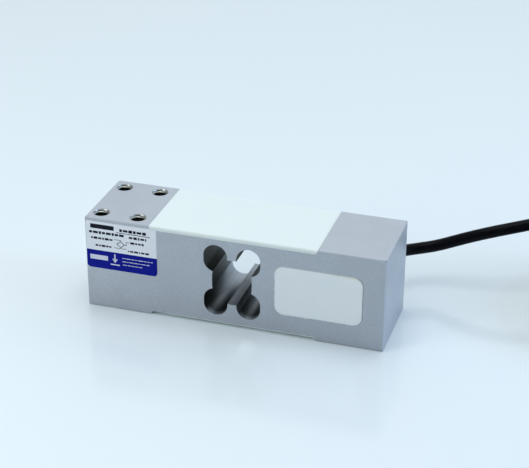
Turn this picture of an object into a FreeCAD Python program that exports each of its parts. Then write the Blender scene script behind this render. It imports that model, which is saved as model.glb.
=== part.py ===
import FreeCAD, Part
import math
import os

os.makedirs("parts", exist_ok=True)
V = FreeCAD.Vector

# Single point load cell: an aluminium beam with a four-lobed flexure cut, potted
# strain gauges above and below the thin sections, a potted side pocket that holds
# the bridge board, and a signal cable that ends in a tied coil with bare leads.
# Millimetres, +Z up. The beam runs along X, its pocket side faces -Y, and the
# origin is the middle of its foot.

# ---- beam -------------------------------------------------------------------
L, W, H = 150.0, 44.0, 48.5
EDGE = 0.35                      # broken edge all round
REC_X0, REC_X1 = -42.0, 42.0     # recess above and below, full width
REC_D = 2.0                      # recess depth
REC_R = 2.0                      # radius in the recess ends

# ---- flexure cut, through along Y -------------------------------------------
LOBE_X = 8.25                    # lobe centres either side of the middle
LOBE_R = 6.0
LOBE_TOP, LOBE_LOW = 43.5, 5.7   # height of the lobes' outer tips
LOBE_STRAIGHT = 2.4
EYE_R = 10.0                     # central opening
EYE_TOP, EYE_LOW = 36.5, 12.3
MID_Z = 24.4

# ---- side pocket in the front face -------------------------------------------
PK_X0, PK_X1 = 21.4, 64.5
PK_Z0, PK_Z1 = 11.8, 37.4
PK_R = 4.5
PK_D = 15.0
PK_PROUD, PK_RIM = 0.32, 0.3     # the sealant's crown and its rounded rim

# ---- tapped holes (bore at the thread's major diameter) ------------------------
HOLE_R = 4.0
HOLE_X = (-69.0, -50.0)          # load end, in the top
BASE_X = (50.0, 69.0)            # base end, in the foot
HOLE_Y = 15.0
HOLE_DEEP = 16.0
BASE_DEEP = 9.2
SINK = 0.25                      # countersink, 45 degrees

# ---- cable --------------------------------------------------------------------
CD = 6.0                         # jacket diameter
EXIT = (61.0, 22.0, 20.0)        # where it leaves the back face
DUCT_X, DUCT_Y, DUCT_R = 30.0, -14.0, 1.6

ROUTE = [                        # from the exit to the outer turn of the coil
    (61.0, 22.0, 20.0), (61.0, 30.2, 20.0), (63.4, 38.4, 19.7), (67.9, 45.6, 19.2),
    (74.3, 51.1, 18.7), (84.1, 55.2, 19.9), (96.6, 57.0, 25.0), (109.1, 58.9, 29.5),
    (121.3, 63.1, 32.2), (133.1, 69.2, 34.0), (144.5, 76.3, 31.5), (155.4, 83.9, 23.6),
    (167.2, 91.0, 14.6), (180.1, 94.9, 9.8), (193.1, 94.67, 9.15),
]
COIL_C = (191.5, 46.5)
COIL_IN, COIL_OUT, COIL_H = 20.6, 51.3, 12.2
TAIL = [                         # from the outer floor turn to the jacket's end
    (223.12, 82.88, 3.05), (233.69, 73.69, 3.05), (241.9, 62.4, 3.05),
    (247.4, 49.5, 3.05), (249.8, 35.7, 3.05),
]
IN_A, OUT_A = 87.9, 49.1         # where the cable joins and leaves the coil, degrees
TIE_A = -128.0                   # where the tie sits on the coil, degrees


def box(x0, x1, y0, y1, z0, z1):
    return Part.makeBox(x1 - x0, y1 - y0, z1 - z0, V(x0, y0, z0))


def cyl(r, p, d, h):
    return Part.makeCylinder(r, h, V(*p), V(*d))


def fillet(shape, r, pick):
    edges = [e for e in shape.Edges if pick(e)]
    return shape.makeFillet(r, edges)


def along(e, axis):
    a, b = e.Vertexes[0].Point, e.Vertexes[-1].Point
    d = b - a
    return d.Length > 1e-6 and abs(abs((d / d.Length).dot(V(*axis))) - 1) < 1e-6


def path_wire(pts, bend=None, show=None):
    """Straight runs joined by tangent arcs."""
    p = [V(*q) for q in pts]
    edges, last, radii = [], p[0], []
    for i in range(1, len(p) - 1):
        a, b = p[i - 1] - p[i], p[i + 1] - p[i]
        la, lb = a.Length, b.Length
        a, b = a / la, b / lb
        half = (math.pi - math.acos(max(-1.0, min(1.0, a.dot(b))))) / 2
        t = 0.45 * min(la, lb)
        if bend is not None:
            t = min(t, bend * math.tan(half))
        r = t / math.tan(half)
        radii.append(r)
        s, e = p[i] + a * t, p[i] + b * t
        c = p[i] + (a + b) / (a + b).Length * (r / math.cos(half))
        m = c + (p[i] - c) / (p[i] - c).Length * r
        edges.append(Part.LineSegment(last, s).toShape())
        edges.append(Part.Arc(s, m, e).toShape())
        last = e
    edges.append(Part.LineSegment(last, p[-1]).toShape())
    if show:
        print(show, "radii", [round(r, 1) for r in radii])
    return Part.Wire(edges)


def tube(pts, r, bend=None, show=None):
    w = path_wire(pts, bend, show)
    d = V(*pts[1]) - V(*pts[0])
    ring = Part.Wire([Part.Circle(V(*pts[0]), d / d.Length, r).toShape()])
    s = w.makePipeShell([ring], True, False)
    if show:
        print(show, "volume", round(s.Volume, 1), "section x length",
              round(math.pi * r * r * w.Length, 1), "length", round(w.Length, 1))
    return s


def obround_y(x, r, z0, z1, y0, y1):
    """A slot with round ends, its long way up Z, cut along Y."""
    s = cyl(r, (x, y0, z0 + r), (0, 1, 0), y1 - y0)
    if z1 - z0 - 2 * r > 1e-6:
        s = s.fuse(cyl(r, (x, y0, z1 - r), (0, 1, 0), y1 - y0))
        s = s.fuse(box(x - r, x + r, y0, y1, z0 + r, z1 - r))
    return s


def pocket_block(x0, x1, z0, z1, y0, y1, r):
    return fillet(box(x0, x1, y0, y1, z0, z1), r, lambda e: along(e, (0, 1, 0)))


def recess_tool(z0, z1, over, floor_up):
    """Full-width recess whose two ends run into the floor with a radius."""
    b = box(REC_X0, REC_X1, -W / 2 - over, W / 2 + over, z0, z1)
    zf = z0 if floor_up else z1
    return fillet(b, REC_R, lambda e: along(e, (0, 1, 0))
                  and abs(e.Vertexes[0].Z - zf) < 1e-6)


nodes = {}

# ---- beam -----------------------------------------------------------------------
beam = box(-L / 2, L / 2, -W / 2, W / 2, 0, H)
beam = beam.makeChamfer(EDGE, beam.Edges)
top_tool = recess_tool(H - REC_D, H + 1.0, 1.0, True)
low_tool = recess_tool(-1.0, REC_D, 1.0, False)
beam = beam.cut(top_tool).cut(low_tool)

clover = None
for sx in (-1, 1):
    for z0, z1 in ((LOBE_TOP - 2 * LOBE_R - LOBE_STRAIGHT, LOBE_TOP),
                   (LOBE_LOW, LOBE_LOW + 2 * LOBE_R + LOBE_STRAIGHT)):
        s = obround_y(sx * LOBE_X, LOBE_R, z0, z1, -W / 2 - 1, W / 2 + 1)
        clover = s if clover is None else clover.fuse(s)
clover = clover.fuse(obround_y(0.0, EYE_R, EYE_LOW, EYE_TOP, -W / 2 - 1, W / 2 + 1))
beam = beam.cut(clover.removeSplitter())

beam = beam.cut(pocket_block(PK_X0, PK_X1, PK_Z0, PK_Z1, -W / 2 - 1, -W / 2 + PK_D, PK_R))


def tapped(x, y, zt, deep, up):
    d = 1.0 if up else -1.0      # the way the hole opens
    s = cyl(HOLE_R, (x, y, zt - d * deep if up else zt - 1.0), (0, 0, 1), deep + 1.0)
    mouth = Part.makeCone(HOLE_R, HOLE_R + SINK + 0.2, SINK + 0.2,
                          V(x, y, zt - d * SINK), V(0, 0, d))
    tip_h = 3.4 * math.tan(math.radians(31))
    tip = Part.makeCone(3.4, 0.4, tip_h * 3.0 / 3.4, V(x, y, zt - d * deep), V(0, 0, -d))
    return s.fuse(mouth).fuse(tip) if up else s.fuse(mouth)


for x in HOLE_X:
    for y in (-HOLE_Y, HOLE_Y):
        beam = beam.cut(tapped(x, y, H, HOLE_DEEP, True))
for x in BASE_X:
    for y in (-HOLE_Y, HOLE_Y):
        beam = beam.cut(tapped(x, y, 0.0, BASE_DEEP, False))

# wire ducts from each recess to the pocket, and the cable bore with its seat
duct_top = cyl(DUCT_R, (DUCT_X, DUCT_Y, PK_Z1 - 1), (0, 0, 1), H - PK_Z1)
duct_low = cyl(DUCT_R, (DUCT_X, DUCT_Y, 1.0), (0, 0, 1), PK_Z0)
cable_bore = cyl(3.15, (EXIT[0], -W / 2 + PK_D - 1, EXIT[2]), (0, 1, 0), W)
seat = cyl(4.3, (EXIT[0], 16.0, EXIT[2]), (0, 1, 0), 10.0)
beam = beam.cut(duct_top).cut(duct_low).cut(cable_bore).cut(seat)
nodes["body"] = beam

# ---- strain gauges, solder tabs and their wires -----------------------------------
ZT, ZB = H - REC_D, REC_D        # recess floors
G_L, G_W, G_T = 9.0, 7.0, 0.12
for name, sx in (("left", -1), ("right", 1)):
    x = sx * (LOBE_X + 1.6)
    nodes["gauge_top_" + name] = box(x - G_L / 2, x + G_L / 2, -G_W / 2, G_W / 2, ZT, ZT + G_T)
    nodes["gauge_bottom_" + name] = box(x - G_L / 2, x + G_L / 2, -G_W / 2, G_W / 2, ZB - G_T, ZB)


def tabs(z, up):
    d = 1 if up else -1
    out = []
    for k in range(4):
        y = -12.4 + 2.4 * k
        out.append(box(-2.2, 2.2, y - 0.9, y + 0.9, min(z, z + d * 0.35), max(z, z + d * 0.35)))
    return Part.makeCompound(out)


nodes["solder_tabs_top"] = tabs(ZT, True)
nodes["solder_tabs_bottom"] = tabs(ZB, False)


DUCT_SLOTS = ((30.0, -14.9), (29.3, -14.3), (29.3, -13.7), (30.0, -13.1))


def bridge_wires(z, d, pocket_z):
    """Jumpers from the gauges to the tabs, and four wires from the tabs to the board."""
    out = []
    zw = z + d * 0.62
    r = 0.22
    for sx in (-1, 1):
        for j in (0, 1):
            y = (-7.6, -12.4)[j] if sx < 0 else (-5.2, -10.0)[j]
            gx = sx * (LOBE_X + 1.6 - 2.2 + 2.6 * j)
            out.append(tube([(gx, -2.7, z + d * 0.36), (gx, -4.4 - 0.3 * j, z + d * 0.5),
                             (sx * (3.3 + 0.9 * j), y, zw), (sx * 1.1, y, zw)], r, 1.0))
    for k in range(4):
        y = -12.4 + 2.4 * k
        px, py = DUCT_SLOTS[k]
        lane = -14.9 + 1.25 * k
        out.append(tube([(1.7, y, zw + d * 0.5), (6.5, y, zw + d * 0.5),
                         (13.0, lane, zw + d * 0.5), (px, py, zw + d * 0.25),
                         (px, py, pocket_z)], r, 0.8))
    return out


BX0, BX1, BZ0, BZ1, BY = 24.5, 47.0, 14.6, 34.6, -8.0   # board, its back at BY
BT = 1.6
nodes["compensation_board"] = fillet(
    box(BX0, BX1, BY - BT, BY, BZ0, BZ1), 1.0, lambda e: along(e, (0, 1, 0)))
FACE = BY - BT
chips = []
for cx, cz, w, h in ((33.0, 30.2, 3.2, 1.6), (38.6, 30.2, 3.2, 1.6), (33.0, 26.8, 3.2, 1.6),
                     (38.6, 26.8, 3.2, 1.6), (35.8, 19.6, 4.5, 3.2), (30.2, 19.6, 3.2, 1.6)):
    chips.append(box(cx - w / 2, cx + w / 2, FACE - 0.9, FACE, cz - h / 2, cz + h / 2))
nodes["trim_resistors"] = Part.makeCompound(chips)

top_w = bridge_wires(ZT, 1, 37.8)
low_w = bridge_wires(ZB, -1, 11.4)


def drop_wires(first, board_z):
    """The same wires inside the pocket, on to the board's left edge."""
    out = []
    step = 1 if board_z > first else -1
    for k in range(4):
        px, py = DUCT_SLOTS[k]
        bx = (31.9, 26.2, 28.1, 30.0)[k]
        out.append(tube([(px, py, first), (px, py, first + step * 1.8), (bx, -12.2, board_z),
                         (bx, FACE, board_z)], 0.22, 0.9))
    return out


nodes["gauge_wires_top"] = Part.makeCompound(top_w + drop_wires(37.8, 33.2))
nodes["gauge_wires_bottom"] = Part.makeCompound(low_w + drop_wires(11.4, 16.0))

# ---- cable end inside the beam ------------------------------------------------------
ex, ey, ez = EXIT
INLET_Y = -12.0
nodes["cable_inlet"] = cyl(CD / 2, (ex, INLET_Y, ez), (0, 1, 0), ey - INLET_Y)
nodes["crimp_ring"] = cyl(3.4, (ex, -10.9, ez), (0, 1, 0), 2.6).cut(
    cyl(CD / 2, (ex, -11.0, ez), (0, 1, 0), 3.0))
seal = cyl(4.3, (ex, 16.0, ez), (0, 1, 0), 6.0)
seal = seal.fuse(cyl(5.6, (ex, 22.0, ez), (0, 1, 0), 1.3))
seal = seal.fuse(Part.makeCone(4.6, 3.7, 3.2, V(ex, 23.3, ez), V(0, 1, 0)))
nodes["cable_exit_seal"] = seal.cut(cyl(CD / 2, (ex, 15.0, ez), (0, 1, 0), 13.0)).removeSplitter()

LEADS = (("red", -0.78, 0.78), ("green", -0.78, -0.78), ("black", 0.78, -0.78), ("white", 0.78, 0.78))
inner = {
    "red": (-15.2, 30.9, 28.2), "green": (-13.4, 25.0, 20.8),
    "black": (-16.6, 17.4, 17.8), "white": (-18.6, 23.5, 24.6),
}
for name, dx, dz in LEADS:
    yl, zmid, zpad = inner[name]
    nodes["conductor_" + name] = tube(
        [(ex + dx, INLET_Y, ez + dz), (ex + dx, yl, ez + dz), (ex - 7.5, yl, zpad),
         (44.8, yl, zpad), (44.8, FACE, zpad)], 0.6, 1.6)

# ---- label ---------------------------------------------------------------------------
LAB = (-74.6, -38.0, 21.5, 46.9)
LAB_T = 0.12
lab = box(LAB[0], LAB[1], -W / 2 - LAB_T, -W / 2, LAB[2], LAB[3])
lab = fillet(lab, 1.0, lambda e: along(e, (0, 1, 0)) and e.Vertexes[0].Z > 40)
nodes["label"] = fillet(lab, 1.9, lambda e: along(e, (0, 1, 0)) and e.Vertexes[0].Z < 22)

# ---- potting ----------------------------------------------------------------------------
TOP_FILL, LOW_FILL = H - 0.08, 0.3
top_block = box(REC_X0, REC_X1, -W / 2, W / 2, ZT, TOP_FILL).common(top_tool)
top_block = fillet(top_block, 1.1, lambda e: along(e, (1, 0, 0)) and e.Vertexes[0].Z > H - 0.5)
LOW_LIP, LOW_SHY = 0.5, 4.6      # below, the sealant thins to a lip towards both long edges
low_prof = Part.makePolygon([V(REC_X0, y, z) for y, z in (
    (-W / 2, ZB), (-W / 2, ZB - LOW_LIP), (-W / 2 + LOW_SHY, LOW_FILL), (W / 2 - LOW_SHY, LOW_FILL),
    (W / 2, ZB - LOW_LIP), (W / 2, ZB), (-W / 2, ZB))])
low_block = Part.Face(low_prof).extrude(V(REC_X1 - REC_X0, 0, 0)).common(low_tool)
pk_block = pocket_block(PK_X0, PK_X1, PK_Z0, PK_Z1, -W / 2 - PK_PROUD, -W / 2 + PK_D, PK_R)
pk_block = fillet(pk_block, PK_RIM, lambda e: max(v.Y for v in e.Vertexes) < -W / 2 - PK_PROUD + 1e-6)
up_plug = cyl(DUCT_R, (DUCT_X, DUCT_Y, PK_Z1), (0, 0, 1), ZT - PK_Z1)
low_plug = cyl(DUCT_R, (DUCT_X, DUCT_Y, ZB), (0, 0, 1), PK_Z0 - ZB)

in_top = [nodes[n] for n in ("gauge_top_left", "gauge_top_right", "solder_tabs_top", "gauge_wires_top")]
in_low = [nodes[n] for n in ("gauge_bottom_left", "gauge_bottom_right", "solder_tabs_bottom",
                             "gauge_wires_bottom")]
in_pk = [nodes[n] for n in ("compensation_board", "trim_resistors", "gauge_wires_top",
                            "gauge_wires_bottom", "cable_inlet", "crimp_ring", "conductor_red",
                            "conductor_green", "conductor_black", "conductor_white")]


def potted(block, inside):
    for s in inside:
        for q in s.Solids:
            block = block.cut(q)
    return block


nodes["top_potting"] = potted(top_block, in_top)
nodes["bottom_potting"] = potted(low_block, in_low)
nodes["pocket_potting"] = potted(pk_block.fuse(up_plug).fuse(low_plug).removeSplitter(), in_pk)

# ---- cable, coil, tie and tail -------------------------------------------------------------
cx, cy = COIL_C
rr = 2.6
prof = Part.makePolygon([V(cx + COIL_IN, cy, 0), V(cx + COIL_OUT, cy, 0), V(cx + COIL_OUT, cy, COIL_H),
                         V(cx + COIL_IN, cy, COIL_H), V(cx + COIL_IN, cy, 0)])
coil = Part.Face(prof).revolve(V(cx, cy, 0), V(0, 0, 1), 360)
coil = coil.makeFillet(rr, [e for e in coil.Edges if isinstance(e.Curve, Part.Circle)])

ta = math.radians(TIE_A)
# the turns lie a little closer here than the coil's full width, and ride over the strap
TR0, TR1, TZ0, TZ1, TW, TT = 21.2, 48.1, 1.0, 13.3, 3.4, 0.95


def tie_ring(grow, width):
    b = box(TR0 - grow, TR1 + grow, -width / 2, width / 2, TZ0 - grow, TZ1 + grow)
    return fillet(b, 2.4 + grow, lambda e: along(e, (0, 1, 0)))


tie = tie_ring(TT, TW).cut(tie_ring(0.0, TW + 2))
head = fillet(box(TR1 + TT - 0.4, TR1 + TT + 3.2, -2.7, 2.7, 5.2, 10.6), 0.5,
              lambda e: along(e, (1, 0, 0)) or along(e, (0, 0, 1)) and e.Vertexes[0].X > TR1 + 3)
stub = box(TR1 + TT + 3.2, TR1 + TT + 4.4, -TW / 2 + 0.2, TW / 2 - 0.2, 7.2, 8.3)
tie = tie.fuse(head).fuse(stub).removeSplitter()
m = FreeCAD.Matrix()
m.rotateZ(ta)
m.move(V(cx, cy, 0))
tie = tie.transformed(m)
# room in the coil for the strap below it and for its two sides
gap = box(15, 56, -2.0, 2.0, -1, TZ0 + 0.75)
gap = gap.fuse(box(TR1 - 0.75, 56, -3.1, 3.1, -1.5, COIL_H + 2))
gap = gap.fuse(box(15, TR0 + 0.75, -2.2, 2.2, -1.5, COIL_H + 2)).removeSplitter()
coil = coil.cut(gap.transformed(m))


def place_free(a0, a1, z0, z1):
    """The outermost place, empty before the cable joins and after it leaves."""
    o = V(cx, cy, z0)
    turn = math.degrees(math.radians(a1 - a0))
    s = Part.makeCylinder(COIL_OUT + 1.5, z1 - z0, o, V(0, 0, 1), turn).cut(
        Part.makeCylinder(45.05, z1 - z0 + 2, o - V(0, 0, 1), V(0, 0, 1)))
    s.rotate(V(cx, cy, 0), V(0, 0, 1), a0)
    return s


coil = coil.cut(place_free(IN_A, IN_A + 52, 6.0, COIL_H + 1))
coil = coil.cut(place_free(OUT_A - 50, OUT_A, -1.0, 6.2))
nodes["coil_tie"] = tie
nodes["cable_coil"] = coil.Solids[0] if len(coil.Solids) == 1 else coil

run_in = tube(ROUTE, CD / 2, show="cable")
nodes["cable"] = run_in
run_out = tube(TAIL, CD / 2, show="tail")
nodes["cable_tail"] = run_out

# jacket's end: shrink sleeve, four leads and the shield's drain wire
pe, pq = V(*TAIL[-1]), V(*TAIL[-2])
d = (pe - pq) / (pe - pq).Length
n = V(-d.y, d.x, 0)


def at(s, side, z):
    q = pe + d * s + n * side
    return (q.x, q.y, z)


def profile(pts):
    w = Part.makePolygon([V(pe.x, pe.y, pe.z) + d * s + n * r for s, r in pts + pts[:1]])
    return Part.Face(w).revolve(pe, d, 360)


SL0, SL1 = -5.6, 6.5
sleeve = profile([(SL0, CD / 2), (SL0, 3.3), (0.0, 3.3), (1.6, 3.1), (4.2, 2.25), (SL1, 2.15),
                  (SL1, 1.9), (0.0, 1.9), (0.0, CD / 2)])
# the sleeve's lowest line is flattened on the floor that the jacket lies on
nodes["end_sleeve"] = sleeve.common(box(150, 300, -50, 150, 0.0, 20))
fan = {"red": -8.0, "green": -3.6, "black": 4.2, "white": 8.6}
tips = []
for name, dx, dz in LEADS:
    f = fan[name]
    lift = 0.62
    pts = [at(0.06, dx, 3.05 + dz), at(SL1 + 3.0, dx * 1.1, 3.05 + dz * 0.9), at(18.0, f * 0.45, 0.9 if dz < 0 else 1.4),
           at(28.0, f * 0.85, lift), at(38.0, f, lift)]
    nodes["lead_" + name] = tube(pts, 0.6, 9.0)
    a, b = V(*pts[-2]), V(*pts[-1])
    u = (b - a) / (b - a).Length
    tips.append(Part.makeCylinder(0.38, 6.5, b, u))
pts = [at(0.06, 0.0, 3.05), at(SL1 + 3.5, 0.0, 2.9), at(17.0, 0.6, 0.8), at(27.0, 0.4, 0.55), at(36.0, 0.9, 0.5)]
nodes["shield_wire"] = tube(pts, 0.42, 9.0)
nodes["lead_tips"] = Part.makeCompound(tips)

# ---- write ------------------------------------------------------------------------------------
for name, shape in nodes.items():
    if shape.ShapeType == "Compound" and len(shape.Solids) == 1:
        shape = shape.Solids[0]
    bb = shape.BoundBox
    print("%-20s %s valid=%s solids=%d vol=%.1f  x %.2f..%.2f y %.2f..%.2f z %.2f..%.2f" % (
        name, shape.ShapeType, shape.isValid(), len(shape.Solids), shape.Volume,
        bb.XMin, bb.XMax, bb.YMin, bb.YMax, bb.ZMin, bb.ZMax))
    shape.exportStep("parts/" + name + ".step")
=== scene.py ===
import bpy
import bmesh
import math
from mathutils import Vector, Matrix, noise


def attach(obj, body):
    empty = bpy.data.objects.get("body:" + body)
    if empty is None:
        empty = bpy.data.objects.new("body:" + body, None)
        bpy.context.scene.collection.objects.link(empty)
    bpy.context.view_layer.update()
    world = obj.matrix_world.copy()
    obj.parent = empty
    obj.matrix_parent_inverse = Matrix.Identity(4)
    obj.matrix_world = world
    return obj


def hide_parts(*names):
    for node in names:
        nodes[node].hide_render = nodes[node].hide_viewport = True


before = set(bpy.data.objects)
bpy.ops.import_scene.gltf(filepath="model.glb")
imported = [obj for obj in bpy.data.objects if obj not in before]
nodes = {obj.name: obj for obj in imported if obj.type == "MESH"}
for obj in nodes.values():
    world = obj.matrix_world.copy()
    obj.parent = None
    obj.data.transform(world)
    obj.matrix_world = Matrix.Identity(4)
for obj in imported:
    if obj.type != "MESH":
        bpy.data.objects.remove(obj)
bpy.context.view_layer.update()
scene = bpy.context.scene
MM = 0.001


def mm(*p):
    return Vector(p) * MM


# ------------------------------------------------------------------ camera
cam_data = bpy.data.cameras.new("camera")
cam = bpy.data.objects.new("camera", cam_data)
scene.collection.objects.link(cam)
scene.camera = cam
right = Vector((0.95469781, 0.29751538, 0.00605791)).normalized()
fwd = Vector((-0.2626705, 0.8521015, -0.4526889)).normalized()
up = right.cross(fwd).normalized()
right = fwd.cross(up).normalized()
cam.matrix_world = Matrix((
    (right.x, up.x, -fwd.x, 0.19949875),
    (right.y, up.y, -fwd.y, -0.61659868),
    (right.z, up.z, -fwd.z, 0.36916807),
    (0, 0, 0, 1)))
cam_data.sensor_fit = "HORIZONTAL"
cam_data.sensor_width = 36.0
cam_data.lens = 101.8404
cam_data.clip_start, cam_data.clip_end = 0.01, 50.0


# ------------------------------------------------------------------ cable
D = 0.006
ROUTE = [
    (61.0, 22.0, 20.0), (61.0, 30.2, 20.0), (63.4, 38.4, 19.7), (67.9, 45.6, 19.2),
    (74.3, 51.1, 18.7), (84.1, 55.2, 19.9), (96.6, 57.0, 25.0), (109.1, 58.9, 29.5),
    (121.3, 63.1, 32.2), (133.1, 69.2, 34.0), (144.5, 76.3, 31.5), (155.4, 83.9, 23.6),
    (167.2, 91.0, 14.6), (180.1, 94.9, 9.8), (193.1, 94.67, 9.15),
]
TAIL = [
    (223.12, 82.88, 3.05), (233.69, 73.69, 3.05), (241.9, 62.4, 3.05),
    (247.4, 49.5, 3.05), (249.8, 35.7, 3.05),
]
COIL_C = (191.5, 46.5)
TIE_A = -128.0


def tie_lift(angle):
    """The turns ride over the tie's lower strap."""
    d = (angle - TIE_A + 180.0) % 360.0 - 180.0
    return 1.0 * math.exp(-(d / 17.0) ** 2)


def coil_points():
    """Turns of the put-away length: the upper layer winds inwards, the lower one outwards."""
    total = 8 + 38.8 / 360.0
    top, drop = 4.07, 0.42
    low = total - top - drop
    n = round(total * 16)
    step = total * 360.0 / n
    out = []
    r_out, r_in = 48.2, 48.2 - 6.1 * 4.0
    for i in range(1, n):
        t = i * step / 360.0
        if t <= top:
            r, z = r_out + (r_in - r_out) * t / top, 9.15
        elif t <= top + drop:
            f = (t - top) / drop
            r, z = r_in, 9.15 - 6.1 * (3 * f * f - 2 * f ** 3)
        else:
            f = (t - top - drop) / low
            r, z = r_in + (r_out - r_in) * f, 3.05
        a = 87.8 - i * step
        # hand-wound: the turns wander a little beside each other
        w = 0.10 * math.sin(3.1 * t + 0.6) + 0.06 * math.sin(7.3 * t)
        k = (r + w) / math.cos(math.radians(step / 2)) ** 0.5
        out.append((COIL_C[0] + k * math.cos(math.radians(a)),
                    COIL_C[1] + k * math.sin(math.radians(a)), z + tie_lift(a)))
    return out


cable_points = ROUTE + coil_points() + TAIL
curve = bpy.data.curves.new("signal_cable", "CURVE")
curve.dimensions = "3D"
spline = curve.splines.new("NURBS")
spline.points.add(len(cable_points) - 1)
for p, q in zip(spline.points, cable_points):
    p.co = (q[0] * MM, q[1] * MM, q[2] * MM, 1.0)
    p.radius = D / 2
spline.order_u = 3
spline.use_endpoint_u = True
spline.resolution_u = 6
curve.bevel_depth = 1.0
curve.bevel_resolution = 7
curve.use_fill_caps = True
cable = bpy.data.objects.new("signal_cable", curve)
scene.collection.objects.link(cable)
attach(cable, "root")
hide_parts("cable", "cable_coil", "cable_tail")


# ------------------------------------------------------------------ material helpers
class Graph:
    """A short way to write a node tree."""

    def __init__(self, name):
        self.mat = bpy.data.materials.new(name)
        self.mat.use_nodes = True
        self.t = self.mat.node_tree
        self.bsdf = self.t.nodes["Principled BSDF"]
        self.co = self.t.nodes.new("ShaderNodeTexCoord").outputs["Object"]

    def node(self, kind, **props):
        n = self.t.nodes.new(kind)
        for k, v in props.items():
            setattr(n, k, v)
        return n

    def put(self, socket, value):
        if isinstance(value, bpy.types.NodeSocket):
            self.t.links.new(value, socket)
        elif value is not None:
            socket.default_value = value

    def math(self, op, a, b=None, c=None, clamp=False):
        n = self.node("ShaderNodeMath", operation=op, use_clamp=clamp)
        for i, v in enumerate((a, b, c)):
            self.put(n.inputs[i], v)
        return n.outputs[0]

    def stretch(self, scale, co=None):
        n = self.node("ShaderNodeMapping")
        self.put(n.inputs["Vector"], co or self.co)
        n.inputs["Scale"].default_value = scale
        return n.outputs[0]

    def noise(self, scale, detail=3.0, rough=0.55, co=None, distort=0.0):
        n = self.node("ShaderNodeTexNoise")
        self.put(n.inputs["Vector"], co or self.co)
        n.inputs["Scale"].default_value = scale
        n.inputs["Detail"].default_value = detail
        n.inputs["Roughness"].default_value = rough
        n.inputs["Distortion"].default_value = distort
        return n.outputs["Fac"]

    def cells(self, scale, feature="F1", co=None, out="Distance"):
        n = self.node("ShaderNodeTexVoronoi", feature=feature)
        self.put(n.inputs["Vector"], co or self.co)
        n.inputs["Scale"].default_value = scale
        return n.outputs[out]

    def ramp(self, fac, lo, hi, a=0.0, b=1.0, smooth=True):
        n = self.node("ShaderNodeMapRange")
        n.interpolation_type = "SMOOTHSTEP" if smooth else "LINEAR"
        self.put(n.inputs["Value"], fac)
        n.inputs["From Min"].default_value = lo
        n.inputs["From Max"].default_value = hi
        n.inputs["To Min"].default_value = a
        n.inputs["To Max"].default_value = b
        return n.outputs["Result"]

    def mix(self, fac, a, b, blend="MIX"):
        n = self.node("ShaderNodeMix", data_type="RGBA", blend_type=blend)
        self.put(n.inputs["Factor"], fac)
        for name, v in (("A", a), ("B", b)):
            s = [i for i in n.inputs if i.name == name and i.type == "RGBA"][0]
            self.put(s, tuple(v) + (1.0,) if isinstance(v, tuple) and len(v) == 3 else v)
        return [o for o in n.outputs if o.type == "RGBA"][0]

    def xyz(self):
        n = self.node("ShaderNodeSeparateXYZ")
        self.put(n.inputs[0], self.co)
        return n.outputs[0], n.outputs[1], n.outputs[2]

    def bump(self, height, strength, distance, under=None):
        n = self.node("ShaderNodeBump")
        n.inputs["Strength"].default_value = strength
        n.inputs["Distance"].default_value = distance
        self.put(n.inputs["Height"], height)
        self.put(n.inputs["Normal"], under)
        return n.outputs["Normal"]

    def set(self, **values):
        names = {"color": "Base Color", "metal": "Metallic", "rough": "Roughness", "ior": "IOR",
                 "normal": "Normal", "spec": "Specular IOR Level", "coat": "Coat Weight",
                 "coat_rough": "Coat Roughness", "sss": "Subsurface Weight",
                 "sss_scale": "Subsurface Scale", "sss_radius": "Subsurface Radius",
                 "sheen": "Sheen Weight", "diffuse_rough": "Diffuse Roughness",
                 "transmit": "Transmission Weight", "sss_ior": "Subsurface IOR"}
        for k, v in values.items():
            s = self.bsdf.inputs[names[k]]
            if isinstance(v, tuple) and len(v) == 3 and s.type == "RGBA":
                v = v + (1.0,)
            self.put(s, v)
        return self.mat


def assign(obj, *mats):
    obj.data.materials.clear()
    for m in mats:
        obj.data.materials.append(m)


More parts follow.
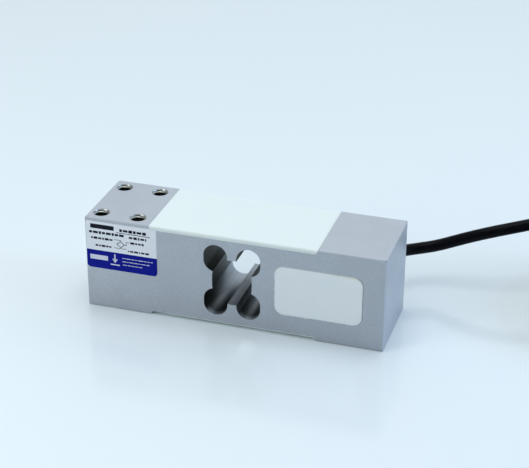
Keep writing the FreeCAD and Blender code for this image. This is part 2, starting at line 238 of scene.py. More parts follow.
# ------------------------------------------------------------------ materials
def beam_metal(name, color, rough, grain=1.0, metal=0.82, corner=False):
    """Milled and lightly blasted aluminium: matte, with a fine grain and cloudy patches."""
    g = Graph(name)
    fine = g.noise(2600.0, 2.0, 0.6)
    mid = g.noise(620.0, 3.0, 0.6)
    cloud = g.noise(55.0, 4.0, 0.55, distort=0.4)
    mill = g.noise(90.0, 3.0, 0.65, co=g.stretch((1.0, 14.0, 14.0)))
    dark = tuple(c * (1 - 0.13 * grain) for c in color)
    light = tuple(min(1.0, c * (1 + 0.11 * grain)) for c in color)
    c = g.mix(g.ramp(fine, 0.30, 0.70), dark, light)
    c = g.mix(g.math("MULTIPLY", g.ramp(cloud, 0.35, 0.68), 0.30), c, tuple(x * 0.88 for x in color))
    c = g.mix(g.math("MULTIPLY", g.ramp(mill, 0.48, 0.72), 0.13), c, light)
    pit = g.ramp(g.cells(420.0, co=None), 0.0, 0.09, 1.0, 0.0)
    pit = g.math("MULTIPLY", pit, g.ramp(g.noise(140.0, 1.0), 0.56, 0.64))
    c = g.mix(g.math("MULTIPLY", pit, 0.45), c, tuple(x * 0.45 for x in color))
    if corner:
        # a small dark spot painted at the two upper corners of the cable end: painted shade standing in for the
        # chamfer corners there
        for p in ((0.0746, -0.0217, 0.0481), (0.0744, 0.0208, 0.0483)):
            d = g.node("ShaderNodeVectorMath", operation="DISTANCE")
            g.put(d.inputs[0], g.co)
            d.inputs[1].default_value = p
            r = g.math("ADD", d.outputs["Value"], g.math("MULTIPLY", g.math("SUBTRACT", mid, 0.5), 0.0005))
            c = g.mix(g.ramp(r, 0.00018, 0.00052, 0.7, 0.0), c, (0.08, 0.085, 0.09))
    r = g.math("ADD", rough - 0.08, g.math("MULTIPLY", g.math("ADD", mid, cloud), 0.08))
    m = metal
    if corner:
        # the walls of the flexure cut were bored: smooth, with painted shade near the front and
        # painted light towards the open back, along the bottom rim and in bands on the lobe sides and middle strip
        x, y, z = g.xyz()
        ax, ay = g.math("ABSOLUTE", x), g.math("ABSOLUTE", y)
        inside = g.math("MULTIPLY", g.ramp(ax, 0.0148, 0.0152, 1.0, 0.0), g.ramp(ay, 0.02178, 0.02192, 1.0, 0.0))
        inside = g.math("MULTIPLY", inside, g.ramp(g.math("ABSOLUTE", g.math("SUBTRACT", z, 0.0246)), 0.0194, 0.0198, 1.0, 0.0))
        # painted light: brighter towards the open back, painted shade towards the front
        deep = g.ramp(y, -0.0120, 0.0235)
        low = g.ramp(z, 0.0068, 0.0092, 1.0, 0.0)
        # painted light along the bottom rim near the front
        rim = g.math("MULTIPLY", g.ramp(y, -0.0216, -0.0170, 1.0, 0.0), low)
        side = g.math("ABSOLUTE", g.math("SUBTRACT", g.math("ABSOLUTE", g.math("ADD", x, 0.0016)), 0.0082))
        # painted light in bands on the lobe sides and on the middle strip
        painted_light_bands = g.math("MULTIPLY", g.ramp(side, 0.0006, 0.0032, 1.0, 0.0), g.ramp(z, 0.0095, 0.0125, 1.0, 0.0))
        painted_light_bands = g.math("MULTIPLY", painted_light_bands, g.ramp(y, -0.021, -0.004, 0.10, 0.42))
        strip = g.math("MULTIPLY", g.ramp(ax, 0.0030, 0.0034, 1.0, 0.0), g.ramp(z, 0.0135, 0.0150, 1.0, 0.0))
        strip = g.math("MULTIPLY", strip, g.ramp(g.noise(120.0, 2.0), 0.3, 0.7, 0.36, 0.50))
        f = g.math("MAXIMUM", g.math("MAXIMUM", deep, g.math("MULTIPLY", rim, 0.75)), g.math("MAXIMUM", painted_light_bands, strip))
        tool = g.noise(520.0, 2.0, 0.6, co=g.stretch((1.0, 0.05, 1.0)))
        f = g.math("MULTIPLY", f, g.ramp(tool, 0.3, 0.7, 0.86, 1.08))
        # painted light and shade of the bore walls, from near black to lit grey
        painted_bore_shading = g.mix(f, (0.006, 0.008, 0.005), (0.35, 0.395, 0.44))
        c = g.mix(inside, c, painted_bore_shading)
        r = g.math("ADD", r, g.math("MULTIPLY", inside, -0.04))
        m = g.math("ADD", metal, g.math("MULTIPLY", inside, 0.62 - metal))
    n = g.bump(mid, 0.10 * grain, 0.00012)
    n = g.bump(fine, 0.16 * grain, 0.00006, n)
    return g.set(color=c, metal=m, rough=r, normal=n)


def thread_metal():
    """The cut thread: bright crests at the mouth, with painted shade darkening it further down the hole."""
    g = Graph("cut_thread_aluminium")
    x, y, z = g.xyz()
    depth = g.math("MINIMUM", g.math("SUBTRACT", 0.0485, z), z)
    # painted shade: the thread goes nearly black further down the hole
    f = g.ramp(depth, 0.0007, 0.0024, 1.0, 0.0)
    fine = g.noise(1900.0, 2.0, 0.6)
    light = g.mix(g.ramp(fine, 0.3, 0.7), (0.50, 0.52, 0.49), (0.64, 0.66, 0.62))
    c = g.mix(f, (0.010, 0.011, 0.010), light)
    return g.set(color=c, metal=0.9, rough=g.ramp(fine, 0.3, 0.7, 0.24, 0.36), normal=g.bump(fine, 0.12, 0.00006))


def silicone(name, color, edge, gloss=0.42, specks=True, pocket=False):
    """Poured white sealant: smooth, faintly translucent, a little dust on it."""
    g = Graph(name)
    cloud = g.noise(70.0, 3.0, 0.5)
    fine = g.noise(1500.0, 2.0, 0.5)
    c = g.mix(g.math("MULTIPLY", g.ramp(cloud, 0.35, 0.7), 0.5), color, edge)
    if specks:
        near = g.cells(95.0)
        which = g.ramp(g.noise(31.0, 0.0), 0.54, 0.56)
        dot = g.math("MULTIPLY", g.ramp(near, 0.016, 0.034, 1.0, 0.0), which)
        c = g.mix(g.math("MULTIPLY", dot, 0.55), c, (0.28, 0.27, 0.24))
    if pocket:
        # a painted hairline of shade where it meets the milled edge, heavier to the right, and painted cream shading
        # along the top rim
        x, y, z = g.xyz()
        cx, cz, hx, hz, rad = 42.95 * MM, 24.6 * MM, 21.55 * MM, 12.8 * MM, 4.5 * MM
        qx = g.math("MAXIMUM", g.math("SUBTRACT", g.math("ABSOLUTE", g.math("SUBTRACT", x, cx)), hx - rad), 0.0)
        qz = g.math("MAXIMUM", g.math("SUBTRACT", g.math("ABSOLUTE", g.math("SUBTRACT", z, cz)), hz - rad), 0.0)
        d = g.math("SQRT", g.math("ADD", g.math("MULTIPLY", qx, qx), g.math("MULTIPLY", qz, qz)))
        d = g.math("SUBTRACT", rad, d)
        right = g.ramp(x, 58.0 * MM, 64.0 * MM)
        up = g.ramp(z, 33.0 * MM, 37.0 * MM)
        painted_top_rim_shading = g.math("MULTIPLY", g.ramp(d, 0.0002, 0.0016, 1.0, 0.0), g.math("MULTIPLY", up, g.ramp(x, 44.0 * MM, 60.0 * MM)))
        c = g.mix(g.math("MULTIPLY", painted_top_rim_shading, 0.55), c, (0.80, 0.80, 0.64))
        line = g.math("MULTIPLY", g.ramp(d, 0.00012, 0.00048, 1.0, 0.0), g.math("ADD", 0.18, g.math("MULTIPLY", right, 0.62)))
        c = g.mix(line, c, (0.20, 0.20, 0.17))
    r = g.math("ADD", gloss, g.math("MULTIPLY", cloud, 0.12))
    n = g.bump(g.noise(160.0, 2.0, 0.5), 0.12, 0.00025)
    n = g.bump(fine, 0.06, 0.00004, n)
    return g.set(color=c, rough=r, normal=n, sss=0.22, sss_scale=0.0012,
                 sss_radius=(1.0, 0.9, 0.8), ior=1.41)


def plastic(name, color, rough=0.4, scale=900.0, bump=0.10, vary=0.10, spec=0.5, along=None):
    g = Graph(name)
    co = g.stretch(along) if along else None
    a = g.noise(scale, 3.0, 0.6, co=co)
    b = g.noise(scale * 0.07, 3.0, 0.5)
    c = g.mix(g.ramp(a, 0.3, 0.7), tuple(x * (1 - vary) for x in color), tuple(min(1, x * (1 + vary)) for x in color))
    c = g.mix(g.math("MULTIPLY", g.ramp(b, 0.45, 0.7), 0.25), c, tuple(x * 0.8 + 0.01 for x in color))
    r = g.math("ADD", rough - 0.06, g.math("MULTIPLY", b, 0.12))
    return g.set(color=c, rough=r, normal=g.bump(a, bump, 0.00008), spec=spec)


def jacket():
    """Glossy black vinyl, with the slight lengthwise unevenness of an extruded jacket."""
    g = Graph("cable_jacket")
    a = g.noise(240.0, 2.0, 0.5)
    fine = g.noise(2200.0, 2.0, 0.6)
    c = g.mix(g.ramp(a, 0.3, 0.7), (0.0012, 0.0012, 0.0022), (0.0030, 0.0031, 0.0052))
    c = g.mix(g.math("MULTIPLY", g.ramp(g.noise(45.0, 4.0, 0.7), 0.60, 0.78), 0.25), c, (0.012, 0.012, 0.014))
    r = g.math("ADD", 0.24, g.math("MULTIPLY", a, 0.14))
    n = g.bump(a, 0.10, 0.0004)
    n = g.bump(fine, 0.05, 0.00005, n)
    return g.set(color=c, rough=r, normal=n, spec=0.07, ior=1.5)


def metal(name, color, rough=0.3, scale=1400.0, along=None, bump=0.15, vary=0.12):
    g = Graph(name)
    a = g.noise(scale, 3.0, 0.6, co=g.stretch(along) if along else None)
    b = g.noise(scale * 0.1, 3.0, 0.6)
    c = g.mix(g.ramp(a, 0.3, 0.7), tuple(x * (1 - vary) for x in color), tuple(min(1, x * (1 + vary)) for x in color))
    c = g.mix(g.math("MULTIPLY", g.ramp(b, 0.5, 0.75), 0.3), c, tuple(x * 0.6 for x in color))
    r = g.math("ADD", rough - 0.08, g.math("MULTIPLY", b, 0.18))
    return g.set(color=c, metal=1.0, rough=r, normal=g.bump(a, bump, 0.00008))


def strands(name, color, turns=900.0):
    """Fine tinned wires laid together: slanted stripes round the bundle, with painted shade in the grooves between the
    wires.
    """
    g = Graph(name)
    x, y, z = g.xyz()
    s = g.math("SINE", g.math("MULTIPLY", g.math("ADD", y, g.math("MULTIPLY", z, 2.2)), turns * 6.2832))
    # painted shade: darker stripes in the grooves between the wires
    c = g.mix(g.ramp(s, -0.9, 0.5), tuple(v * 0.35 for v in color), color)
    c = g.mix(g.math("MULTIPLY", g.noise(600.0), 0.3), c, tuple(v * 0.75 for v in color))
    return g.set(color=c, metal=1.0, rough=g.ramp(g.noise(900.0), 0.3, 0.7, 0.22, 0.42),
                 normal=g.bump(s, 0.6, 0.00008))


def label_film():
    """Printed film: a smooth, slightly soft white, with faint fibre grain and a hairline of dirt at its rim."""
    g = Graph("label_film")
    x, y, z = g.xyz()
    f = g.noise(1800.0, 3.0, 0.6)
    cloud = g.noise(60.0, 3.0, 0.5)
    c = g.mix(g.ramp(f, 0.3, 0.7), LABEL_WHITE, tuple(v * 0.955 for v in LABEL_WHITE))
    c = g.mix(g.math("MULTIPLY", g.ramp(cloud, 0.45, 0.75), 0.25), c, tuple(v * 0.93 for v in LABEL_WHITE))
    mx = g.math("SUBTRACT", 18.3 * MM, g.math("ABSOLUTE", g.math("ADD", x, 56.3 * MM)))
    mz = g.math("SUBTRACT", 12.7 * MM, g.math("ABSOLUTE", g.math("SUBTRACT", z, 34.2 * MM)))
    rim = g.ramp(g.math("MINIMUM", mx, mz), 0.0, 0.00035, 0.35, 0.0)
    c = g.mix(rim, c, (0.30, 0.32, 0.36))
    return g.set(color=c, rough=g.ramp(cloud, 0.3, 0.7, 0.34, 0.46),
                 normal=g.bump(g.noise(260.0, 2.0), 0.10, 0.00010), spec=0.5)


def ink(name, color, rough=0.4):
    """Screen ink: full colour with pinholes and slightly uneven density."""
    g = Graph(name)
    f = g.noise(2400.0, 3.0, 0.65)
    b = g.noise(170.0, 3.0, 0.6)
    c = g.mix(g.math("MULTIPLY", g.ramp(f, 0.52, 0.78), 0.30), color, tuple(min(1.0, v * 1.25 + 0.006) for v in color))
    c = g.mix(g.math("MULTIPLY", g.ramp(b, 0.40, 0.70), 0.35), c, tuple(v * 0.82 for v in color))
    return g.set(color=c, rough=g.ramp(b, 0.3, 0.7, rough - 0.05, rough + 0.07),
                 normal=g.bump(g.noise(260.0, 2.0), 0.08, 0.0001), spec=0.10)


LABEL_WHITE = (0.86, 0.895, 0.955)
M_BEAM = beam_metal("milled_aluminium", (0.486, 0.514, 0.560), 0.43, grain=1.35, metal=0.78, corner=True)
M_THREAD = thread_metal()
# M_TOP and the pocket's material are shaded and lit copies of one white sealant: the pocket's is painted lighter and
# bluer to suit the light on the front face
M_TOP = silicone("white_sealant", (0.815, 0.885, 0.865), (0.80, 0.87, 0.855))
M_POCKET_PAINTED_LIGHTER = silicone("white_sealant_pocket_painted_lighter", (0.89, 0.945, 0.965), (0.865, 0.925, 0.95), specks=False, pocket=True)
M_JACKET = jacket()
assign(cable, M_JACKET)
assign(nodes["body"], M_BEAM)
assign(nodes["label"], label_film())
assign(nodes["cable_inlet"], M_JACKET)
assign(nodes["crimp_ring"], metal("nickel_crimp", (0.62, 0.60, 0.56), 0.30))
assign(nodes["cable_exit_seal"], plastic("black_rubber", (0.014, 0.014, 0.015), 0.62, 1300.0, 0.25, 0.25, 0.35))
assign(nodes["coil_tie"], plastic("black_nylon", (0.012, 0.012, 0.013), 0.46, 1100.0, 0.15, 0.2, 0.45))
assign(nodes["end_sleeve"], plastic("shrink_sleeve", (0.013, 0.013, 0.014), 0.55, 700.0, 0.35, 0.2, 0.4, along=(1.0, 0.35, 1.0)))
for key, col in (("red", (0.42, 0.010, 0.012)), ("green", (0.012, 0.17, 0.035)),
                 ("black", (0.010, 0.010, 0.011)), ("white", (0.72, 0.72, 0.70))):
    m = plastic("wire_" + key, col, 0.36, 1200.0, 0.10, 0.08)
    assign(nodes["lead_" + key], m)
    assign(nodes["conductor_" + key], m)
tinned = strands("tinned_strands", (0.60, 0.60, 0.58))
assign(nodes["lead_tips"], tinned)
assign(nodes["shield_wire"], tinned)
foil = metal("gauge_foil", (0.52, 0.42, 0.27), 0.35, 2500.0, along=(1.0, 6.0, 1.0), bump=0.3)
film = plastic("polyimide_film", (0.42, 0.20, 0.035), 0.32, 1800.0, 0.08, 0.10)
for n in ("gauge_top_left", "gauge_top_right", "gauge_bottom_left", "gauge_bottom_right"):
    assign(nodes[n], film)
for n in ("solder_tabs_top", "solder_tabs_bottom"):
    assign(nodes[n], metal("tab_solder", (0.55, 0.55, 0.53), 0.34, 1600.0))
for n in ("gauge_wires_top", "gauge_wires_bottom"):
    assign(nodes[n], plastic("enamel_wire", (0.30, 0.09, 0.02), 0.28, 1500.0, 0.06, 0.12))
assign(nodes["compensation_board"], plastic("glass_board", (0.020, 0.105, 0.045), 0.42, 1500.0, 0.20, 0.15, along=(1.0, 1.0, 3.0)))
assign(nodes["trim_resistors"], plastic("chip_body", (0.018, 0.018, 0.020), 0.40, 1500.0, 0.12, 0.15))


# ------------------------------------------------------------------ mesh helpers
def piece(name, verts, faces, mats, smooth=True, index=None, sharp=None):
    me = bpy.data.meshes.new(name)
    me.from_pydata([tuple(c * MM for c in v) for v in verts], [], faces)
    for m in mats:
        me.materials.append(m)
    if index:
        me.polygons.foreach_set("material_index", index)
    me.validate()
    bm = bmesh.new()
    bm.from_mesh(me)
    bmesh.ops.recalc_face_normals(bm, faces=bm.faces)
    bm.to_mesh(me)
    bm.free()
    if smooth:
        me.polygons.foreach_set("use_smooth", [True] * len(me.polygons))
        if sharp:
            me.set_sharp_from_angle(angle=math.radians(sharp))
    obj = bpy.data.objects.new(name, me)
    scene.collection.objects.link(obj)
    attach(obj, "root")
    return obj


def rings(loops, cap=True):
    """Closed loops of equal count joined into a skin, with a fan at each end."""
    verts = [v for l in loops for v in l]
    n = len(loops[0])
    faces = []
    for i in range(len(loops) - 1):
        for j in range(n):
            k = (j + 1) % n
            faces.append((i * n + j, i * n + k, (i + 1) * n + k, (i + 1) * n + j))
    if cap:
        for i, base in ((0, 0), (len(loops) - 1, (len(loops) - 1) * n)):
            c = [sum(v[a] for v in loops[i]) / n for a in range(3)]
            verts.append(tuple(c))
            m = len(verts) - 1
            for j in range(n):
                k = (j + 1) % n
                faces.append((base + k, base + j, m) if i == 0 else (base + j, base + k, m))
    return verts, faces


def wob(x, y, seed, scale):
    """A smooth value from about -1 to 1."""
    return noise.noise(Vector((x * scale + seed * 7.13, y * scale - seed * 3.7, seed * 1.9)))


# ------------------------------------------------------------------ sealant above and below
def slab(name, top, mat):
    """The poured sealant of one recess: flush at its ends, rounded along the two long edges,
    with a slightly uneven lip where it met the face of the beam."""
    sign = 1.0 if top else -1.0
    half, depth, rr = 42.0, 2.0, 2.0
    level = 1.92 if top else 1.70
    stations = []
    n = 260
    for i in range(n + 1):
        u = -1.0 + 2.0 * i / n
        stations.append(half * math.copysign(1 - (1 - abs(u)) ** 1.25, u) if abs(u) < 1 else half * u)
    loops = []
    for x in stations:
        x = max(-41.985, min(41.985, x))
        d = abs(x) - (half - rr)
        zb = 0.0 if d <= 0 else rr - math.sqrt(max(0.0, rr * rr - d * d))
        zb = min(zb, level - 0.03)
        thick = level - zb
        loop = []
        for side in (-1, 1):
            s = 11.0 if side < 0 else 23.0
            r = (1.12 if top else 0.9) * (1 + 0.14 * wob(x, 0, s, 0.11) + 0.06 * wob(x, 0, s + 1, 0.6))
            r = min(r, thick * 0.80)
            lip = (0.10 + 0.13 * max(0.0, wob(x, 0, s + 2, 0.22)) + 0.07 * max(0.0, wob(x, 0, s + 3, 0.9))) if top else 0.02
            lip = lip if d <= 0.6 else lip * max(0.0, 1 - (d - 0.6) / 1.0)
            y = 21.985
            half_loop = [(y - 1.2, zb + 0.02), (y, zb + 0.02), (y + 0.012, zb - lip), (y + 0.045, zb - lip * 0.75),
                         (y + 0.055, zb - lip * 0.3), (y + 0.045, zb + 0.12 * thick), (y + 0.015, zb + min(0.2, 0.3 * thick))]
            # the rounded shoulder: a quarter of a slightly flattened circle
            steps = 12
            if top:
                for k in range(steps + 1):
                    a = math.pi / 2 * k / steps
                    half_loop.append((y - r * (1 - math.cos(a)), level - r + r * math.sin(a)))
                for f in (1.8, 3.2, 5.5, 9.0, 14.0):
                    half_loop.append((y - f, level))
            else:
                rise = min(1.0, max(0.0, (x + 37.5) / 6.0)) if side < 0 else 1.0
                edge = min(0.47, 0.16 + 0.30 * rise * (1 + 0.25 * wob(x, 0, s + 4, 0.3)))
                edge = max(0.03, min(edge, thick * 0.9))
                half_loop = [(y - 1.2, zb + 0.02), (y, zb + 0.02), (y + 0.006, zb + 0.3 * edge), (y, zb + 0.62 * edge)]
                for k in range(steps + 1):
                    a = math.pi / 2 * k / steps
                    half_loop.append((y - 0.02 - 0.25 * (1 - math.cos(a)), zb + edge * (0.7 + 0.3 * math.sin(a))))
                for f in (0.9, 1.8, 3.2, 4.6, 5.5, 9.0, 14.0):
                    half_loop.append((y - f, max(zb + edge, min(level - 0.02, zb + edge + (1.68 - edge) * (f - 0.3) / 4.6))))
            loop.append((side, half_loop))
        pts = [(-q[0], q[1]) for q in loop[0][1]] + [(q[0], q[1]) for q in reversed(loop[1][1])]
        out = []
        for y, z in pts:
            if z > level - 0.02:
                z = level + 0.012 * wob(x, y, 5.0, 0.09) + 0.006 * wob(x, y, 6.0, 0.35) - 0.01
                end = 42.0 - abs(x)
                z += 0.02 * math.exp(-(end / 0.8) ** 2) - 0.035 * math.exp(-((end - 1.6) / 1.6) ** 2)
            zz = 46.5 + z if top else 2.0 - z
            out.append((x, y, zz))
        loops.append(out)
    v, f = rings(loops)
    return piece(name, v, f, [mat], sharp=50)


seal_top = slab("sealant_top", True, M_TOP)
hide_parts("top_potting")
seal_low = slab("sealant_bottom", False, M_TOP)
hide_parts("bottom_potting")


# ------------------------------------------------------------------ sealant in the side pocket
def pocket():
    """The pocket's sealant: a low crown with a rounded rim that follows the milled edge, a few
    places where it ran over at the left and below, and a slight sink in the middle."""
    x0, x1, z0, z1, r = 21.4, 64.5, 11.8, 37.4, 4.5
    cx, cz = (x0 + x1) / 2, (z0 + z1) / 2
    hx, hz = (x1 - x0) / 2, (z1 - z0) / 2
    outline = []
    per = 2 * (2 * hx - 2 * r) + 2 * (2 * hz - 2 * r) + 2 * math.pi * r
    n = 300
    for i in range(n):
        s = per * i / n
        legs = [("x", 2 * hx - 2 * r), ("c", math.pi * r / 2), ("z", 2 * hz - 2 * r), ("c", math.pi * r / 2)] * 2
        corner = 0
        for k, (kind, length) in enumerate(legs):
            if s <= length or k == len(legs) - 1:
                break
            s -= length
        # start at the lower left, going right
        q = k // 1
        if k == 0:
            p, nn = (-hx + r + s, -hz), (0, -1)
        elif k == 1:
            a = -math.pi / 2 + s / r
            p, nn = (hx - r + r * math.cos(a), -hz + r + r * math.sin(a)), (math.cos(a), math.sin(a))
        elif k == 2:
            p, nn = (hx, -hz + r + s), (1, 0)
        elif k == 3:
            a = s / r
            p, nn = (hx - r + r * math.cos(a), hz - r + r * math.sin(a)), (math.cos(a), math.sin(a))
        elif k == 4:
            p, nn = (hx - r - s, hz), (0, 1)
        elif k == 5:
            a = math.pi / 2 + s / r
            p, nn = (-hx + r + r * math.cos(a), hz - r + r * math.sin(a)), (math.cos(a), math.sin(a))
        elif k == 6:
            p, nn = (-hx, hz - r - s), (-1, 0)
        else:
            a = math.pi + s / r
            p, nn = (-hx + r + r * math.cos(a), -hz + r + r * math.sin(a)), (math.cos(a), math.sin(a))
        outline.append((p, nn))

    def spill(p, nn):
        """How far the sealant runs over the edge here."""
        x, z = cx + p[0], cz + p[1]
        e = 0.05 * wob(x, z, 31.0, 0.5) + 0.03 * wob(x, z, 32.0, 1.6)
        left = max(0.0, -nn[0]) + max(0.0, -nn[1])
        e += left * (0.10 + 0.14 * wob(x, z, 33.0, 0.35) + 0.10 * wob(x, z, 34.0, 1.1))
        for bx, bz, w, h in ((21.4, 25.2, 0.75, 0.42), (24.8, 11.8, 1.1, 0.36), (27.0, 11.8, 0.8, 0.26), (36.9, 11.8, 0.85, 0.46),
                             (33.0, 11.8, 3.4, 0.20), (29.6, 11.8, 2.2, 0.16), (21.4, 20.2, 1.2, 0.20),
                             (21.4, 30.8, 0.6, 0.16)):
            e += h * math.exp(-((x - bx) ** 2 + (z - bz) ** 2) / (w * w))
        return max(-0.06, min(0.60, e))

    y_face = -22.0
    loops = []
    # (inset from the run-over edge, height in front of the face)
    prof = [(0.0, -0.8), (0.0, 0.0), (0.02, 0.07), (0.06, 0.14), (0.12, 0.195), (0.20, 0.235), (0.32, 0.262),
            (0.5, 0.28), (0.8, 0.292), (1.3, 0.30), (2.0, 0.30), (3.2, 0.292), (5.0, 0.275), (7.5, 0.255), (10.0, 0.245)]
    back = [((p[0] * (1 - 0.0), p[1]), nn) for p, nn in outline]
    loops.append([(cx + p[0] - nn[0] * 0.02, -7.3, cz + p[1] - nn[1] * 0.02) for p, nn in back])
    loops.append([(cx + p[0] - nn[0] * 0.02, y_face + 0.9, cz + p[1] - nn[1] * 0.02) for p, nn in back])
    loops.append([(cx + p[0] - nn[0] * 0.02, y_face + 0.02, cz + p[1] - nn[1] * 0.02) for p, nn in back])
    for inset, up in prof[1:]:
        l = []
        for p, nn in outline:
            e = spill(p, nn) if inset < 6 else 0.0
            # inset towards the middle without crossing at the corners
            ix = hx - max(0.0, inset - e * max(0.0, 1 - inset / 1.5))
            fx = (hx - inset + (e if inset < 1.5 else 0.0) * (1 - inset / 1.5 if inset < 1.5 else 0)) / hx
            fz = (hz - inset + (e if inset < 1.5 else 0.0) * (1 - inset / 1.5 if inset < 1.5 else 0)) / hz
            x, z = cx + p[0] * fx, cz + p[1] * fz
            h = up
            if inset > 0.3:
                h += 0.006 * wob(x, z, 41.0, 0.12) + 0.004 * wob(x, z, 42.0, 0.5)
            l.append((x, y_face - h, z))
        loops.append(l)
    v, f = rings(loops)
    v = [(a, max(b, -22.315), c) for a, b, c in v]
    return piece("sealant_pocket", v, f, [M_POCKET_PAINTED_LIGHTER], sharp=60)


seal_pocket = pocket()
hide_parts("pocket_potting")


# ------------------------------------------------------------------ threads in the tapped holes
def thread(cx, cy, z_open, down, deep, first):
    """One tapped hole's thread: a closed sleeve whose bore is a single-start helix."""
    pitch, r_out, r_major, r_minor = 1.25, 3.995, 3.97, 3.37
    seg = 56
    rows = []
    steps_per_pitch = 8
    shape = [(0.0, 0.0), (0.07, 0.0), (0.40, 1.0), (0.60, 1.0), (0.93, 0.0)]

    def bore(u):
        u = u % 1.0
        pts = shape + [(1.0, 0.0)]
        for (a, ra), (b, rb) in zip(pts, pts[1:]):
            if a <= u <= b:
                t = (u - a) / (b - a) if b > a else 0
                return r_major + (r_minor - r_major) * (ra + (rb - ra) * t)
        return r_major

    rows_n = int(deep / pitch * 10)
    loops = []
    for i in range(rows_n + 1):
        depth = deep * i / rows_n
        fade = min(1.0, depth / (pitch * 0.9))
        loop = []
        for j in range(seg):
            a = 2 * math.pi * j / seg
            r = bore(depth / pitch + a / (2 * math.pi))
            r = r_major - (r_major - r) * fade
            z = z_open - down * depth
            loop.append((cx + r * math.cos(a), cy + r * math.sin(a), z))
        loops.append(loop)
    bottom = z_open - down * deep
    for z in (bottom, z_open):
        loops.append([(cx + r_out * math.cos(2 * math.pi * j / seg), cy + r_out * math.sin(2 * math.pi * j / seg), z)
                      for j in range(seg)])
    loops.append(loops[0])
    verts, faces = [], []
    n = seg
    total = len(loops) - 1
    for l in loops[:-1]:
        verts += l
    for i in range(total):
        for j in range(n):
            k = (j + 1) % n
            a, b = i * n, ((i + 1) % total) * n
            faces.append((first + a + j, first + a + k, first + b + k, first + b + j))
    return verts, faces


def threads(name, holes, z_open, down, deep):
    verts, faces = [], []
    for x, y in holes:
        v, f = thread(x, y, z_open, down, deep, len(verts))
        verts += v
        faces += f
    return piece(name, verts, faces, [M_THREAD], smooth=False)


thread_load = threads("threads_load_end", [(x, y) for x in (-69.0, -50.0) for y in (-15.0, 15.0)], 48.24, 1.0, 13.6)
thread_base = threads("threads_base_end", [(x, y) for x in (50.0, 69.0) for y in (-15.0, 15.0)], 0.26, -1.0, 8.4)


# ------------------------------------------------------------------ print on the label
M_BLUE = ink("label_blue_ink", (0.0010, 0.0065, 0.275), 0.40)
M_BLACK = ink("label_black_ink", (0.008, 0.009, 0.020), 0.42)
M_PALE = ink("label_pale_ink", (0.70, 0.74, 0.84), 0.40)
print_v, print_f, print_i = [], [], []


def plate(poly, y, thick, mat):
    """A flat shape on the label's face, its outline given in x and z."""
    base = len(print_v)
    n = len(poly)
    area = sum(poly[i][0] * poly[(i + 1) % n][1] - poly[(i + 1) % n][0] * poly[i][1] for i in range(n))
    if area < 0:
        poly = poly[::-1]
    for yy in (y, y - thick):
        for x, z in poly:
            print_v.append((x, yy, z))
    print_f.append(tuple(base + i for i in reversed(range(n))))
    print_f.append(tuple(base + n + i for i in range(n)))
    for i in range(n):
        k = (i + 1) % n
        print_f.append((base + i, base + k, base + n + k, base + n + i))
    print_i.extend([mat] * (n + 2))


FACE_Y, INK = -22.115, 0.014


def bar(x0, x1, z, h, mat=1, y=FACE_Y, t=INK):
    plate([(x0, z - h / 2), (x1, z - h / 2), (x1, z + h / 2), (x0, z + h / 2)], y, t, mat)


def stroke(points, w, mat=1, y=FACE_Y, t=INK):
    for (ax, az), (bx, bz) in zip(points, points[1:]):
        dx, dz = bx - ax, bz - az
        l = math.hypot(dx, dz)
        nx, nz = -dz / l * w / 2, dx / l * w / 2
        ex, ez = dx / l * w / 2, dz / l * w / 2
        plate([(ax - ex + nx, az - ez + nz), (ax - ex - nx, az - ez - nz),
               (bx + ex - nx, bz + ez - nz), (bx + ex + nx, bz + ez + nz)], y, t, mat)


def dashes(x0, x1, z, h, seed, mat=1, y=FACE_Y, t=INK, lo=0.7, hi=3.2, gap=0.55):
    """A row of short bars of uneven length."""
    x, k = x0, 0
    while x < x1 - 0.5:
        f = 0.5 + 0.5 * math.sin(seed * 12.9898 + k * 4.1414)
        w = lo + (hi - lo) * f
        e = min(x + w, x1)
        bar(x, e, z, h * (0.86 + 0.14 * math.cos(seed + k * 2.1)), mat, y, t)
        x = e + gap
        k += 1


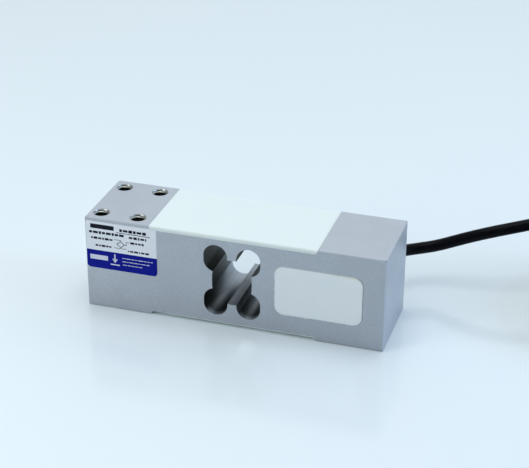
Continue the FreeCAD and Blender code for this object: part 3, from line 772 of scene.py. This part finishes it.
def label_art():
    x0, x1, z0, z1 = -74.6, -38.0, 21.5, 46.9
    split = 31.3
    # the blue field follows the label's lower corners
    r = 1.9
    inset = 0.0
    poly = [(x1 - inset, split), (x0 + inset, split)]
    for k in range(9):
        a = math.pi + math.pi / 2 * k / 8
        poly.append((x0 + r + (r - inset) * math.cos(a), z0 + r + (r - inset) * math.sin(a)))
    for k in range(9):
        a = -math.pi / 2 + math.pi / 2 * k / 8
        poly.append((x1 - r + (r - inset) * math.cos(a), z0 + r + (r - inset) * math.sin(a)))
    plate(poly, -22.02, 0.105, 0)
    # heading: one strong bar and a lighter one over a rule
    bar(-72.2, -59.9, 44.25, 2.35)
    dashes(-57.0, -43.2, 43.75, 1.65, 1.3, lo=1.3, hi=2.6, gap=0.42)
    stroke([(-58.6, 42.35), (-41.4, 42.25)], 0.34)
    # two rows of entries
    dashes(-72.9, -54.6, 41.0, 1.55, 2.2, lo=1.0, hi=2.6, gap=0.45)
    dashes(-52.2, -43.2, 40.55, 1.45, 3.1, lo=0.9, hi=2.2, gap=0.45)
    dashes(-72.0, -60.6, 37.9, 1.25, 4.7, lo=0.9, hi=2.2, gap=0.40)
    dashes(-51.6, -44.6, 37.7, 1.15, 5.9, lo=0.9, hi=2.2, gap=0.40)
    dashes(-69.8, -60.8, 34.0, 1.15, 7.7, lo=0.9, hi=2.0, gap=0.38)
    dashes(-53.0, -41.2, 33.1, 1.05, 9.1, lo=0.8, hi=2.2, gap=0.40)
    # a plain bridge of four arms with its four taps
    cx, cz, a, b = -56.6, 36.1, 1.9, 1.65
    stroke([(cx - a, cz), (cx, cz + b), (cx + a, cz), (cx, cz - b), (cx - a, cz)], 0.34)
    stroke([(cx, cz + b), (cx, cz + b + 0.6), (cx - 3.2, cz + b + 0.6)], 0.26)
    stroke([(cx, cz - b), (cx, cz - b - 0.5), (cx - 3.4, cz - b - 0.5)], 0.26)
    stroke([(cx + a, cz), (cx + a + 1.0, cz), (cx + a + 1.0, cz + 1.6), (cx + a + 2.4, cz + 1.6)], 0.26)
    stroke([(cx + 0.4, cz - b - 0.5), (cx + 2.8, cz - b - 0.5)], 0.26)
    # on the blue: a load arrow on a beam, a strong bar, and three thin rows
    y2, t2 = -22.118, 0.016
    bar(-72.9, -63.6, 27.4, 2.5, 2, y2, t2)
    ax = -59.9
    stroke([(ax - 2.1, 24.55), (ax + 2.1, 24.55)], 0.62, 2, y2, t2)
    stroke([(ax, 29.9), (ax, 27.6)], 0.72, 2, y2, t2)
    plate([(ax - 1.45, 27.7), (ax + 1.45, 27.7), (ax, 25.45)], y2, t2, 2)
    dashes(-56.0, -40.2, 28.75, 0.42, 2.7, 2, y2, t2, lo=0.8, hi=2.8, gap=0.36)
    dashes(-56.0, -41.4, 26.95, 0.42, 6.3, 2, y2, t2, lo=0.8, hi=2.6, gap=0.36)
    dashes(-55.8, -45.0, 25.15, 0.42, 8.4, 2, y2, t2, lo=0.8, hi=2.4, gap=0.36)


label_art()
label_print = piece("label_print", print_v, print_f, [M_BLUE, M_BLACK, M_PALE], smooth=False, index=print_i)


# ------------------------------------------------------------------ floor, light
def floor():
    g = Graph("pale_floor")
    a = g.noise(2.2, 3.0, 0.5)
    f = g.noise(700.0, 2.0, 0.5)
    c = g.mix(g.ramp(a, 0.35, 0.65), (0.800, 0.868, 0.902), (0.812, 0.878, 0.908))
    c = g.mix(g.math("MULTIPLY", f, 0.04), c, (0.78, 0.85, 0.89))
    g.set(color=c, rough=0.13, ior=1.45)
    s = 6.0
    me = bpy.data.meshes.new("floor")
    n = 24
    verts = [(-s + 2 * s * i / n, -s + 2 * s * j / n, -0.00005) for j in range(n + 1) for i in range(n + 1)]
    faces = [(j * (n + 1) + i, j * (n + 1) + i + 1, (j + 1) * (n + 1) + i + 1, (j + 1) * (n + 1) + i)
             for j in range(n) for i in range(n)]
    me.from_pydata(verts, [], faces)
    me.materials.append(g.mat)
    o = bpy.data.objects.new("floor", me)
    scene.collection.objects.link(o)
    return o


floor()

world = bpy.data.worlds.new("studio")
scene.world = world
world.use_nodes = True
bg = world.node_tree.nodes["Background"]
wn, wl = world.node_tree.nodes, world.node_tree.links
w_co = wn.new("ShaderNodeTexCoord")
w_sep = wn.new("ShaderNodeSeparateXYZ")
w_map = wn.new("ShaderNodeMapRange")
w_map.interpolation_type = "SMOOTHSTEP"
wl.new(w_co.outputs["Generated"], w_sep.inputs[0])
wl.new(w_sep.outputs[2], w_map.inputs["Value"])
w_map.inputs["From Min"].default_value = -0.02
w_map.inputs["From Max"].default_value = 0.75
w_map.inputs["To Min"].default_value = 0.17
w_map.inputs["To Max"].default_value = 0.50
w_back = wn.new("ShaderNodeMapRange")
w_back.interpolation_type = "SMOOTHSTEP"
wl.new(w_sep.outputs[1], w_back.inputs["Value"])
w_back.inputs["From Min"].default_value = 0.0
w_back.inputs["From Max"].default_value = 0.95
w_back.inputs["To Min"].default_value = 0.0
w_back.inputs["To Max"].default_value = 0.78
w_sum = wn.new("ShaderNodeMath")
w_sum.operation = "ADD"
wl.new(w_map.outputs["Result"], w_sum.inputs[0])
wl.new(w_back.outputs["Result"], w_sum.inputs[1])
bg.inputs["Color"].default_value = (0.865, 0.948, 1.0, 1.0)
wl.new(w_sum.outputs[0], bg.inputs["Strength"])


def area(name, at, to, size, watts, color=(1, 1, 1), size_y=None):
    d = bpy.data.lights.new(name, "AREA")
    d.shape = "RECTANGLE"
    d.size, d.size_y = size, size_y or size
    d.energy = watts
    d.color = color
    o = bpy.data.objects.new(name, d)
    scene.collection.objects.link(o)
    o.location = at
    o.rotation_mode = "QUATERNION"
    o.rotation_quaternion = (Vector(to) - Vector(at)).to_track_quat("-Z", "Y")
    return o


area("key", (0.0, 0.03, 1.30), (0.0, 0.03, 0.0), 0.75, 4.6, (0.93, 0.975, 0.985))
area("fill_left", (-0.44, -0.46, 0.36), (-0.06, 0.0, 0.02), 0.34, 1.25, (0.95, 0.98, 1.0))
area("fill_right", (1.25, 0.15, 0.26), (0.07, 0.0, 0.02), 0.5, 8.6, (0.42, 0.64, 1.0))

scene.view_settings.view_transform = "Standard"
scene.view_settings.look = "None"
scene.view_settings.exposure = 0.0
scene.view_settings.gamma = 1.0

bpy.context.view_layer.update()
